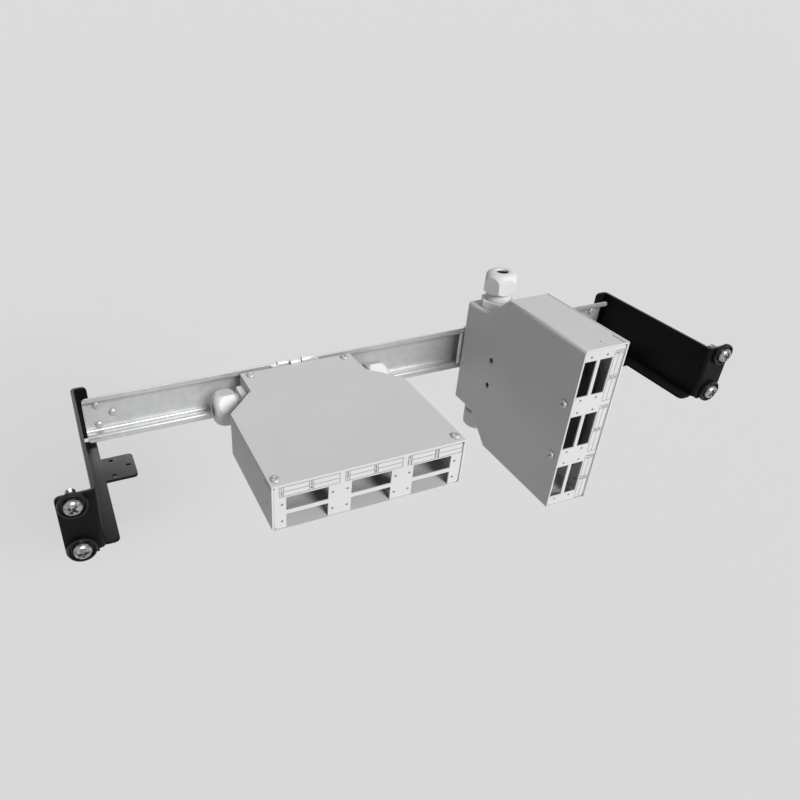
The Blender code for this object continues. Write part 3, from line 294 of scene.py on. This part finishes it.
def metalSurface(name, look):
    made, nodes, links, shader = startSurface(name)
    place = nodes.new("ShaderNodeTexCoord")
    drawn = nodes.new("ShaderNodeGroup")
    drawn.node_tree = streaks
    drawn.inputs["Stretch"].default_value = look["stretch"]
    drawn.inputs["Crystal Scale"].default_value = look["crystals"]
    drawn.inputs["Relief"].default_value = look["relief"]
    links.new(place.outputs["Object"], drawn.inputs["Coordinates"])
    links.new(tinted(nodes, links, drawn.outputs["Crystals"], look["dark"], look["light"], 0.1, 0.9),
              shader.inputs["Base Color"])
    links.new(rangeTo(nodes, links, drawn.outputs["Streaks"], look["smooth"], look["rough"]),
              shader.inputs["Roughness"])
    links.new(drawn.outputs["Normal"], shader.inputs["Normal"])
    shader.inputs["Metallic"].default_value = look["metal"]
    return made


surfaces = {
    "grey_steel": coatedSurface("light grey powder coat", {
        "dark": (0.60, 0.60, 0.60), "light": (0.64, 0.64, 0.64), "grain": 1500.0, "patches": 14.0,
        "relief": 0.35, "smooth": 0.42, "rough": 0.55, "gloss": 0.4}),
    # the black coat carries a painted sheen, a raised specular level on up-facing faces seen at a slant
    "black_steel": coatedSurface("black powder coat", {
        "dark": (0.005, 0.005, 0.0055), "light": (0.008, 0.008, 0.0085), "grain": 1300.0, "patches": 30.0,
        "relief": 0.5, "smooth": 0.32, "rough": 0.42, "gloss": 0.06, "paintedSheenLevel": 1.0}),
    "tray_steel": coatedSurface("dark grey powder coat", {
        "dark": (0.045, 0.045, 0.046), "light": (0.06, 0.06, 0.061), "grain": 1500.0, "patches": 30.0,
        "relief": 0.4, "smooth": 0.4, "rough": 0.55, "gloss": 0.5}),
    "black_plastic": coatedSurface("black moulded plastic", {
        "dark": (0.004, 0.004, 0.004), "light": (0.007, 0.007, 0.007), "grain": 2500.0, "patches": 60.0,
        "relief": 0.2, "smooth": 0.24, "rough": 0.34, "gloss": 0.3}),
    "polyamide": coatedSurface("light moulded plastic", {
        "dark": (0.67, 0.67, 0.67), "light": (0.71, 0.71, 0.71), "grain": 3000.0, "patches": 60.0,
        "relief": 0.15, "smooth": 0.42, "rough": 0.52, "gloss": 0.3}),
    "rubber": coatedSurface("black rubber", {
        "dark": (0.012, 0.012, 0.012), "light": (0.02, 0.02, 0.02), "grain": 1800.0, "patches": 90.0,
        "relief": 0.5, "smooth": 0.6, "rough": 0.8, "gloss": 0.3}),
    "galvanised": metalSurface("galvanised sheet", {
        "dark": (0.50, 0.505, 0.51), "light": (0.56, 0.565, 0.57), "crystals": 260.0, "metal": 0.55,
        "stretch": (500.0, 500.0, 18.0), "relief": 0.2, "smooth": 0.36, "rough": 0.46}),
    "zinc": metalSurface("bright zinc", {
        "dark": (0.16, 0.16, 0.155), "light": (0.52, 0.52, 0.51), "crystals": 750.0, "metal": 0.95,
        "stretch": (700.0, 700.0, 700.0), "relief": 0.5, "smooth": 0.16, "rough": 0.34}),
    "dull_zinc": metalSurface("dull zinc", {
        "dark": (0.44, 0.44, 0.44), "light": (0.60, 0.60, 0.595), "crystals": 1200.0, "metal": 0.4,
        "stretch": (900.0, 900.0, 900.0), "relief": 0.3, "smooth": 0.26, "rough": 0.40}),
    "bright_steel": metalSurface("plated clip steel", {
        "dark": (0.72, 0.72, 0.72), "light": (0.82, 0.82, 0.82), "crystals": 700.0, "metal": 0.6,
        "stretch": (900.0, 900.0, 900.0), "relief": 0.1, "smooth": 0.26, "rough": 0.36}),
    "spring_steel": metalSurface("spring wire", {
        "dark": (0.38, 0.38, 0.39), "light": (0.50, 0.50, 0.51), "crystals": 800.0, "metal": 1.0,
        "stretch": (900.0, 900.0, 900.0), "relief": 0.1, "smooth": 0.22, "rough": 0.34}),
}
ink = coatedSurface("grey print", {
    "dark": (0.10, 0.10, 0.10), "light": (0.13, 0.13, 0.13), "grain": 2500.0, "patches": 80.0,
    "relief": 0.0, "smooth": 0.5, "rough": 0.6, "gloss": 0.3})
print("surfaces made")


# Making pieces

def finishedObject(name, bm, surface, smoothTo=35.0):
    mesh = bpy.data.meshes.new(name)
    bm.to_mesh(mesh)
    bm.free()
    mesh.shade_smooth()
    mesh.set_sharp_from_angle(angle=math.radians(smoothTo))
    mesh.materials.append(surface)
    piece = bpy.data.objects.new(name, mesh)
    bpy.context.scene.collection.objects.link(piece)
    return piece


def evenNormals(piece):
    weigh = piece.modifiers.new("flat faces stay flat", "WEIGHTED_NORMAL")
    weigh.keep_sharp = True


def putOn(piece, body, slotName, *nodes):
    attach(piece, body)
    if nodes:
        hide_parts(*nodes)


def bodyOf(node):
    return frame["nodes"][node]["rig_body"]


def spun(points, steps, closed=True):
    bm = bmesh.new()
    verts = [bm.verts.new((r, 0.0, z)) for r, z in points]
    pairs = list(zip(verts, verts[1:]))
    if closed:
        pairs.append((verts[-1], verts[0]))
    edges = [bm.edges.new(pair) for pair in pairs]
    bmesh.ops.spin(bm, geom=verts + edges, cent=(0, 0, 0), axis=(0, 0, 1), angle=2 * math.pi,
                   steps=steps, use_merge=True)
    bmesh.ops.remove_doubles(bm, verts=bm.verts, dist=1e-6)
    bmesh.ops.dissolve_degenerate(bm, dist=1e-7, edges=bm.edges)
    bmesh.ops.recalc_face_normals(bm, faces=bm.faces)
    return bm


def trim(bm, point, normal):
    cut = bmesh.ops.bisect_plane(bm, geom=bm.verts[:] + bm.edges[:] + bm.faces[:], dist=1e-7,
                                 plane_co=point, plane_no=normal, clear_outer=True)
    rim = [g for g in cut["geom_cut"] if isinstance(g, bmesh.types.BMEdge)]
    bmesh.ops.edgenet_fill(bm, edges=rim)


def threaded(radius, pitch, length, depth, steps=14):
    turns = math.ceil(length / pitch) + 2
    bm = bmesh.new()
    low = -length - pitch
    verts = [bm.verts.new(p) for p in ((radius - depth, 0, low), (radius, 0, low + 0.42 * pitch),
                                       (radius, 0, low + 0.58 * pitch), (radius - depth, 0, low + pitch))]
    edges = [bm.edges.new(pair) for pair in zip(verts, verts[1:])]
    bmesh.ops.spin(bm, geom=verts + edges, cent=(0, 0, 0), axis=(0, 0, 1), angle=2 * math.pi * turns,
                   steps=steps * turns, dvec=(0, 0, pitch / steps))
    bmesh.ops.remove_doubles(bm, verts=bm.verts, dist=2e-6)
    bmesh.ops.recalc_face_normals(bm, faces=bm.faces)
    trim(bm, (0, 0, 0), (0, 0, 1))
    trim(bm, (0, 0, -length), (0, 0, -1))
    bmesh.ops.recalc_face_normals(bm, faces=bm.faces)
    return bm


def joined(first, *others):
    for other in others:
        mesh = bpy.data.meshes.new("part")
        other.to_mesh(mesh)
        other.free()
        first.from_mesh(mesh)
        bpy.data.meshes.remove(mesh)
    return first


def placed(bm, matrix):
    bmesh.ops.transform(bm, matrix=matrix, verts=bm.verts)
    return bm


# Sheet-metal pieces, with the edges that punching and bending leave

edges = {"body": 0.16 * mm, "cover": 0.16 * mm, "front_plate": 0.12 * mm, "splice_tray": 0.12 * mm,
         "clip_plate": 0.1 * mm, "clip_slider": 0.1 * mm, "bracket": 0.25 * mm, "rail": 0.12 * mm,
         "locknut": 0.25 * mm, "flatAngle": 1.0, "edgeAngle": 50.0, "bendAngle": (4.0, 40.0),
         "stripWidth": 1.6 * mm}


def onBend(face):
    # a strip of a bend or a rounded edge, which turns a little on both of its long sides
    low, high = (math.radians(angle) for angle in edges["bendAngle"])
    turns = [e for e in face.edges if e.is_manifold and low < e.calc_face_angle() < high]
    longest = max(e.calc_length() for e in face.edges)
    return len(turns) > 1 and face.calc_area() < edges["stripWidth"] * longest


def dressSheet(node, slotName, edge, look=None):
    bm = bmesh.new()
    bm.from_mesh(frame["nodes"][node].data)
    bmesh.ops.remove_doubles(bm, verts=bm.verts, dist=2e-6)
    level = [e for e in bm.edges if e.is_manifold and e.calc_face_angle() < math.radians(edges["flatAngle"])]
    bmesh.ops.beautify_fill(bm, faces=bm.faces, edges=level, method="ANGLE")
    sharp = [e for e in bm.edges if e.is_manifold and e.calc_length() > 4 * edge
             and e.calc_face_angle() > math.radians(edges["edgeAngle"])]
    bmesh.ops.bevel(bm, geom=sharp, offset=edge, offset_type="OFFSET", segments=2, profile=0.5, material=-1,
                    affect="EDGES", clamp_overlap=False)
    bmesh.ops.dissolve_degenerate(bm, dist=1e-6, edges=bm.edges)
    bmesh.ops.triangulate(bm, faces=[face for face in bm.faces if len(face.verts) > 4])
    curved = [onBend(face) for face in bm.faces]
    piece = finishedObject(node + "_sheet", bm, surfaces[look or slotName])
    for face, bent in zip(piece.data.polygons, curved):
        face.use_smooth = bent
    putOn(piece, bodyOf(node), slotName, node)
    return piece


def makeSheets():
    for side in ("left", "right"):
        dressSheet(side + "_bracket", "black_steel", edges["bracket"])
    dressSheet("din_rail", "galvanised", edges["rail"])
    for box in ("flat_box", "upright_box"):
        for part in ("body", "cover", "front_plate"):
            dressSheet(box + "_" + part, "grey_steel", edges[part])
        dressSheet(box + "_splice_tray", "tray_steel", edges["splice_tray"])
        dressSheet(box + "_clip_plate", "zinc", edges["clip_plate"], "bright_steel")
        dressSheet(box + "_clip_slider", "zinc", edges["clip_slider"], "bright_steel")
        for side in ("left", "right"):
            dressSheet(box + "_" + side + "_gland_locknut", "polyamide", edges["locknut"])
    print("sheet pieces dressed")


# Screws and cup washers

# An M3 screw is as long as its solid; recess gives shares of a head's radius and height
m3 = {"radius": 1.5 * mm, "pitch": 0.5 * mm, "headRadius": 2.85 * mm, "headHeight": 1.65 * mm,
      "look": "dull_zinc"}
m6 = {"radius": 3.0 * mm, "pitch": 1.0 * mm, "headRadius": 5.4 * mm, "headHeight": 4.1 * mm,
      "look": "zinc", "length": 12.0 * mm}
recess = {"reach": 0.58, "half": 0.13, "floor": 0.42, "taper": 0.72}


def panHead(size):
    r, h = size["headRadius"], size["headHeight"]
    return spun([(0, h), (0.30 * r, 0.985 * h), (0.55 * r, 0.93 * h), (0.76 * r, 0.81 * h),
                 (0.90 * r, 0.63 * h), (0.975 * r, 0.42 * h), (r, 0.22 * h), (r, 0.06 * h),
                 (0.97 * r, 0), (0, 0)], 32, closed=False)


def sinkCross(bm, size):
    reach, half = recess["reach"] * size["headRadius"], recess["half"] * size["headRadius"]
    floor = recess["floor"] * size["headHeight"]
    for axis in (Vector((1, 0, 0)), Vector((0, 1, 0))):
        for offset in (-reach, -half, half, reach):
            bmesh.ops.bisect_plane(bm, geom=bm.verts[:] + bm.edges[:] + bm.faces[:], dist=1e-7,
                                   plane_co=axis * offset, plane_no=axis)
    inCross = []
    for face in bm.faces:
        at = face.calc_center_median()
        far, near = max(abs(at.x), abs(at.y)), min(abs(at.x), abs(at.y))
        if at.z > 0.5 * size["headHeight"] and far < reach and near < half:
            inCross.append(face)
    sunk = bmesh.ops.extrude_face_region(bm, geom=inCross)
    for corner in [g for g in sunk["geom"] if isinstance(g, bmesh.types.BMVert)]:
        corner.co.x *= recess["taper"]
        corner.co.y *= recess["taper"]
        corner.co.z = floor
    bmesh.ops.delete(bm, geom=inCross, context="FACES")
    bmesh.ops.recalc_face_normals(bm, faces=bm.faces)


def makeScrew(name, size, head, out, tip):
    # head is the head's direction, tip the far end of the thread; each cross is turned another way
    screw = panHead(size)
    sinkCross(screw, size)
    length = out - size["headHeight"]
    shank = threaded(size["radius"], size["pitch"], length, 0.6 * size["pitch"])
    screw = joined(screw, shank)
    turn = Vector(head).to_track_quat("Z", "Y").to_matrix().to_4x4()
    twist = Matrix.Rotation(math.radians(sum(map(ord, name)) * 37 % 90), 4, "Z")
    placed(screw, Matrix.Translation(Vector(tip) + Vector(head) * length) @ turn @ twist)
    piece = finishedObject(name + "_threaded", screw, surfaces[size["look"]], 40.0)
    putOn(piece, bodyOf(name), "zinc", name)


def screwDirection(name):
    if "rack_screw" in name or "rail_screw" in name:
        return (0, -1, 0)
    head = (0, 0, 1) if name.startswith("flat") else (1, 0, 0)
    if "front_plate_screw" in name:
        head = tuple(-c for c in head)
    return head


def makeScrews():
    for name in sorted(frame["nodes"]):
        if "screw" not in name:
            continue
        low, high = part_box(name)
        head = Vector(screwDirection(name))
        size = m6 if "rack_screw" in name else m3
        axis = max(range(3), key=lambda k: abs(head[k]))
        tip = (low + high) / 2
        tip[axis] = low[axis] if head[axis] > 0 else high[axis]
        out = high[axis] - low[axis]
        if size is m6:
            out = m6["length"] + m6["headHeight"]
        makeScrew(name, size, head, out, tip)
    print("screws made")


washer = {"radius": 8.3 * mm, "height": 2.6 * mm, "floor": 1.0 * mm, "wall": 1.3 * mm, "hole": 3.25 * mm}


def makeWashers():
    r, h, f, w, hole = (washer[k] for k in ("radius", "height", "floor", "wall", "hole"))
    for side in ("left", "right"):
        for number in ("1", "2"):
            node = side + "_cup_washer_" + number
            bm = spun([(hole, 0), (r - 0.3 * mm, 0), (r, 0.3 * mm), (r, h - 0.7 * mm),
                       (r - 0.25 * mm, h - 0.2 * mm), (r - 0.7 * mm, h), (r - w, h - 0.15 * mm),
                       (r - w - 0.35 * mm, f + 0.25 * mm), (r - w - 0.7 * mm, f), (hole, f)], 48)
            low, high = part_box(node)
            middle = (low + high) / 2
            facing = Matrix.Rotation(math.radians(90), 4, "X")
            placed(bm, Matrix.Translation((middle.x, high.y, middle.z)) @ facing)
            piece = finishedObject(node + "_moulded", bm, surfaces["black_plastic"])
            putOn(piece, "panel", "black_plastic", node)
    print("cup washers made")


# Cable glands, out of the wall along +Z

gland = {"flats": 22.0 * mm, "gap": 0.3 * mm, "collar": 5.0 * mm, "neck": 9.0 * mm, "neckLength": 10.0 * mm,
         "thread": 7.8 * mm, "inside": 8.0 * mm, "bore": 5.6 * mm, "nutStart": 3.0 * mm,
         "nutHeight": 15.5 * mm, "nutHex": 6.5 * mm, "cableHole": 4.4 * mm, "land": 1.7 * mm,
         "wall": 1.6 * mm, "cone": 5.0 * mm, "slack": 3.2 * mm, "sealHole": 3.9 * mm, "steps": 72}


def hexCut(bm):
    for k in range(6):
        a = math.radians(60 * k + 30)
        way = Vector((math.cos(a), math.sin(a), 0))
        trim(bm, way * gland["flats"] / 2, way)


def glandBody():
    g = gland
    corner = g["flats"] / math.sqrt(3)
    collar = g["gap"] + g["collar"]
    top = collar + g["neckLength"]
    bm = spun([(g["bore"], top), (g["neck"] - 1.1 * mm, top), (g["neck"] - 0.9 * mm, collar),
               (corner - 1.3 * mm, collar), (corner, collar - 0.7 * mm), (corner, g["gap"] + 0.7 * mm),
               (corner - 1.1 * mm, g["gap"]), (g["thread"] - 0.6 * mm, g["gap"]),
               (g["thread"] - 0.6 * mm, -g["inside"]), (g["bore"], -g["inside"])], g["steps"])
    hexCut(bm)
    neckThread = threaded(g["neck"], 1.5 * mm, g["neckLength"] - 0.4 * mm, 0.8 * mm, 24)
    placed(neckThread, Matrix.Translation((0, 0, top - 0.2 * mm)))
    wallThread = threaded(g["thread"], 1.5 * mm, g["inside"] + g["gap"] - 0.3 * mm, 0.8 * mm, 24)
    placed(wallThread, Matrix.Translation((0, 0, g["gap"])))
    return bm, neckThread, wallThread


def glandNut(rise):
    g = gland
    corner = g["flats"] / math.sqrt(3)
    low = g["gap"] + g["collar"] + g["nutStart"] + rise
    top = low + g["nutHeight"]
    hole, land = g["cableHole"], g["cableHole"] + g["land"]
    start = low + g["nutHex"]
    outer = [(corner - 1.9 * mm, low), (corner - 0.3 * mm, low + 1.6 * mm), (corner, low + 2.4 * mm),
             (corner, start)]
    reach = corner - land
    for k in range(1, 9):
        a = math.radians(90 * k / 8)
        outer.append((land + reach * math.cos(a) ** 0.9, start + (top - start) * math.sin(a)))
    cone = top - g["wall"] - g["cone"]
    inside = g["neck"] + 0.25 * mm
    profile = outer + [(hole + 0.5 * mm, top), (hole, top - 0.5 * mm), (hole, top - g["wall"]),
                       (hole + g["wall"], top - g["wall"]), (inside, cone), (inside, low)]
    bm = spun(profile, g["steps"])
    hexCut(bm)
    return bm


def glandSeal(rise):
    g = gland
    low = g["gap"] + g["collar"] + g["neckLength"] + g["gap"]
    top = g["gap"] + g["collar"] + g["nutStart"] + rise + g["nutHeight"] - g["wall"] - g["gap"]
    cone = top - g["cone"] + g["gap"]
    wide = g["neck"] - 0.6 * mm
    narrow = g["cableHole"] + g["wall"] - 0.6 * mm
    return spun([(narrow, top), (wide, cone + g["gap"]), (wide, low), (g["sealHole"] + 0.3 * mm, low),
                 (g["sealHole"], low + 0.3 * mm), (g["sealHole"], top - 0.3 * mm),
                 (g["sealHole"] + 0.3 * mm, top)], 48)


# Place on the wall in mm, direction out of it, and how far its hexagon is turned in degrees
glandPlaces = {"flat_box_left": ((-109.3, 82.4, 0), (-1, 0, 0), 11),
               "flat_box_right": ((-25.3, 82.4, 0), (1, 0, 0), 38),
               "upright_box_left": ((89.0, 82.4, 42), (0, 0, 1), 51),
               "upright_box_right": ((89.0, 82.4, -42), (0, 0, -1), 5)}


def makeGlands():
    for key, (place, way, twist) in glandPlaces.items():
        box = "flat_box" if key.startswith("flat") else "upright_box"
        rise = gland["slack"] if key == "upright_box_left" else 0.0
        aim = Vector(way).to_track_quat("Z", "Y").to_matrix().to_4x4()
        stand = Matrix.Translation(Vector(place) * mm) @ aim
        turned = stand @ Matrix.Rotation(math.radians(twist), 4, "Z")
        body, neckThread, wallThread = glandBody()
        shape = placed(joined(body, neckThread, wallThread), stand)
        piece = finishedObject(key + "_gland_moulding", shape, surfaces["polyamide"], 30.0)
        evenNormals(piece)
        putOn(piece, box, "polyamide", key + "_gland_body")
        nut = placed(glandNut(rise), turned)
        piece = finishedObject(key + "_gland_dome", nut, surfaces["polyamide"], 24.0)
        evenNormals(piece)
        putOn(piece, key + "_gland_nut", "polyamide", key + "_gland_nut")
        piece = finishedObject(key + "_gland_rubber", placed(glandSeal(rise), stand), surfaces["rubber"])
        putOn(piece, box, "rubber", key + "_gland_seal")
    print("glands made")


# Springs behind the boxes

# pressed is the share of its length that is left when the clip is released
spring = {"turns": 5, "wire": 0.25 * mm, "radius": 1.75 * mm, "length": 17.0 * mm, "steps": 24,
          "pressed": 0.855}


def makeSprings():
    s = spring
    for box in ("flat_box", "upright_box"):
        node = box + "_clip_spring"
        low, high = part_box(node)
        middle = (low + high) / 2
        bm = bmesh.new()
        section = bmesh.ops.create_circle(bm, cap_ends=False, radius=s["wire"], segments=10,
                                          matrix=Matrix.Rotation(math.radians(90), 4, "X"))["verts"]
        bmesh.ops.translate(bm, verts=section, vec=(s["radius"] - s["wire"], 0, 0))
        steps = s["turns"] * s["steps"]
        rise = (s["length"] - 2 * s["wire"]) / steps
        bmesh.ops.spin(bm, geom=bm.verts[:] + bm.edges[:], cent=(0, 0, 0), axis=(0, 0, 1),
                       angle=2 * math.pi * s["turns"], steps=steps, dvec=(0, 0, rise))
        bmesh.ops.holes_fill(bm, edges=bm.edges)
        bmesh.ops.recalc_face_normals(bm, faces=bm.faces)
        placed(bm, Matrix.Translation((middle.x, middle.y, low.z + s["wire"])))
        piece = finishedObject(node + "_coil", bm, surfaces["spring_steel"])
        putOn(piece, box, "spring_steel", node)
        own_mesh(piece)
    print("springs made")


# Printed label fields and numbers on the front plates

label = {"plane": -28.0 * mm, "ink": 0.02 * mm, "line": 0.3 * mm, "pitch": 40.6 * mm, "start": 4.7 * mm,
         "width": 37.0 * mm, "rows": (24.5 * mm, 27.9 * mm, 31.3 * mm), "cell": 2.6 * mm, "middle": 18.2 * mm,
         "digit": 3.1 * mm, "bold": 0.07 * mm}
# Left lower corner of each box's front as it lies flat, in x and z
frontCorners = {"flat_box": (-129.8 * mm, -16.75 * mm), "upright_box": (72.25 * mm, 62.5 * mm)}


def bar(bm, low, high):
    made = bmesh.ops.create_cube(bm, size=1.0)["verts"]
    size = [max(b - a, 1e-6) for a, b in zip(low, high)]
    middle = [(a + b) / 2 for a, b in zip(low, high)]
    bmesh.ops.scale(bm, verts=made, vec=size)
    bmesh.ops.translate(bm, verts=made, vec=middle)


def digits(text, height, u, w):
    curve = bpy.data.curves.new("digits", "FONT")
    curve.body = text
    curve.size = height
    curve.extrude = label["ink"]
    curve.offset = label["bold"]
    curve.align_x = "CENTER"
    curve.align_y = "CENTER"
    made = bpy.data.objects.new("digits", curve)
    bpy.context.scene.collection.objects.link(made)
    bpy.context.view_layer.update()
    mesh = bpy.data.meshes.new_from_object(made.evaluated_get(bpy.context.evaluated_depsgraph_get()))
    bpy.data.objects.remove(made)
    bm = bmesh.new()
    bm.from_mesh(mesh)
    bmesh.ops.remove_doubles(bm, verts=bm.verts, dist=1e-7)
    bmesh.ops.recalc_face_normals(bm, faces=bm.faces)
    bm.to_mesh(mesh)
    bm.free()
    mesh.transform(Matrix.Translation((u, 0, w)) @ Matrix.Rotation(math.radians(90), 4, "X"))
    return mesh


def makeLabels():
    k = label
    half = k["line"] / 2
    bottom, centre, top = k["rows"]
    for box, (x, z) in frontCorners.items():
        stand = Matrix.Translation((x, k["plane"], z))
        if box == "upright_box":
            stand = stand @ Matrix.Rotation(math.radians(90), 4, "Y")
        bm = bmesh.new()
        for column in range(3):
            left = k["start"] + column * k["pitch"]
            right = left + k["width"]
            for w in k["rows"]:
                bar(bm, (left, -k["ink"], w - half), (right, k["ink"], w + half))
            for u in (left, left + k["cell"], left + k["middle"], left + k["middle"] + k["cell"], right):
                bar(bm, (u - half, -k["ink"], bottom), (u + half, k["ink"], top))
            cells = [(u, w) for w in (centre, bottom) for u in (left, left + k["middle"])]
            for number, (u, w) in enumerate(cells, 4 * column + 1):
                mesh = digits(str(number), k["digit"], u + k["cell"] / 2, w + (top - centre) / 2)
                bm.from_mesh(mesh)
                bpy.data.meshes.remove(mesh)
        piece = finishedObject(box + "_label_print", placed(bm, stand), ink)
        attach(piece, box)
    print("labels printed")


setCamera()
setStudio()
makeSheets()
makeScrews()
makeWashers()
makeGlands()
makeSprings()
makeLabels()

bpy.context.scene.view_settings.view_transform = "Standard"
